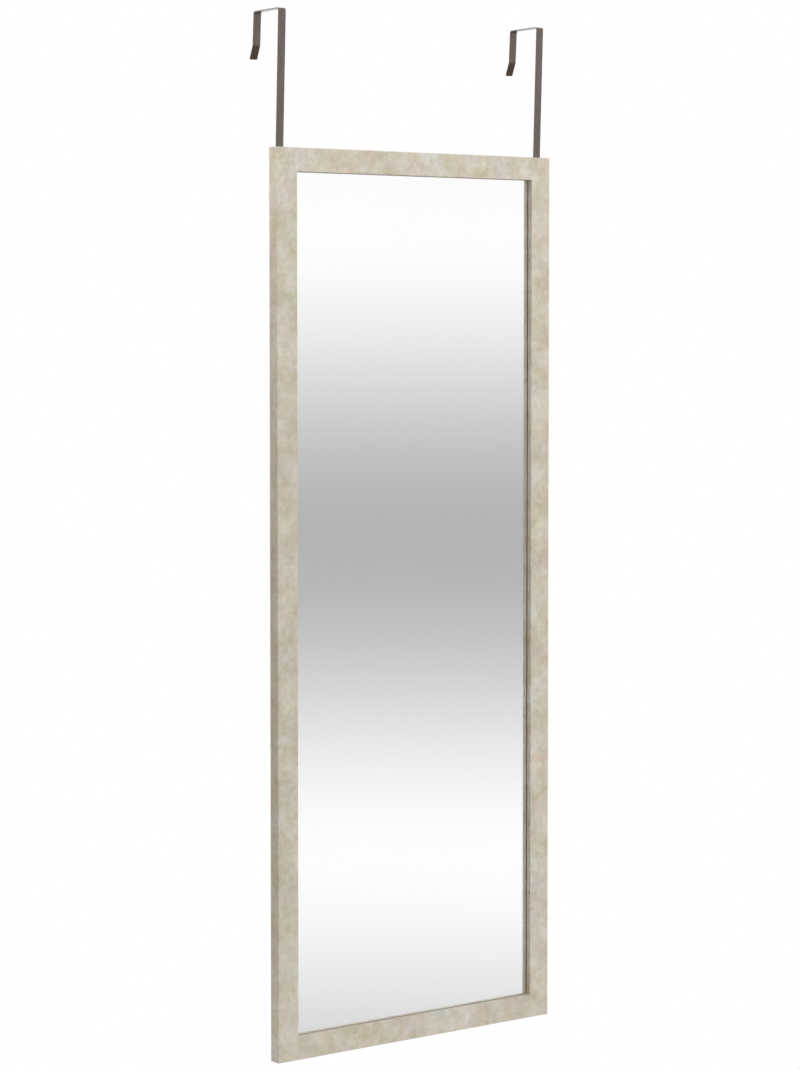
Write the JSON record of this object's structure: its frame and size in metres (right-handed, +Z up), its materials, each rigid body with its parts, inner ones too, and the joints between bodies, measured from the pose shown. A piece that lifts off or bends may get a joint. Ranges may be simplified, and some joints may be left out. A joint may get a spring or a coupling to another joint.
{
  "type": "over the door mirror",
  "caption": "Tall rectangular mirror in a flat mitred stone-look frame, hung from a door's top edge by two flat steel hooks.",
  "frame": {"origin": "on the door's front top edge, midway between the two hooks: z = 0 is the door's top and the underside of the hook bridges, y = 0 is the door's front face and the back of the bumper pads", "axes": "+Z up along the mirror, +X to the right as one faces the glass, +Y from the room into the door"},
  "size_m": [0.457, 0.0784, 1.402],
  "materials": {
    "stone_foil": "satin printed foil with a mottled pale travertine look, over medium-density fibreboard",
    "mirror": "float glass silvered on the back, clean cut edges",
    "bronze_steel": "dark grey-bronze semi-gloss coat on flat steel strip",
    "zinc_steel": "bright zinc plate",
    "hardboard": "brown hardboard, smooth side out",
    "foam": "white closed-cell foam sheet",
    "rubber": "black self-adhesive rubber"
  },
  "bodies": {
    "root": {"backing_board": "hardboard", "bumper_pad_bottom_left": "rubber", "bumper_pad_bottom_right": "rubber", "bumper_pad_top_left": "rubber", "bumper_pad_top_right": "rubber", "cushion_sheet": "foam", "frame_bottom_rail": "stone_foil", "frame_left_stile": "stone_foil", "frame_right_stile": "stone_foil", "frame_top_rail": "stone_foil", "framers_point_bottom_1": "zinc_steel", "framers_point_bottom_2": "zinc_steel", "framers_point_left_1": "zinc_steel", "framers_point_left_2": "zinc_steel", "framers_point_left_3": "zinc_steel", "framers_point_left_4": "zinc_steel", "framers_point_right_1": "zinc_steel", "framers_point_right_2": "zinc_steel", "framers_point_right_3": "zinc_steel", "framers_point_right_4": "zinc_steel", "framers_point_top_1": "zinc_steel", "framers_point_top_2": "zinc_steel", "left_door_hook": "bronze_steel", "left_hook_screw_lower": "zinc_steel", "left_hook_screw_upper": "zinc_steel", "mirror_glass": "mirror", "mitre_nail_bottom_left": "zinc_steel", "mitre_nail_bottom_right": "zinc_steel", "mitre_nail_top_left": "zinc_steel", "mitre_nail_top_right": "zinc_steel", "right_door_hook": "bronze_steel", "right_hook_screw_lower": "zinc_steel", "right_hook_screw_upper": "zinc_steel"}
  },
  "joints": []
}
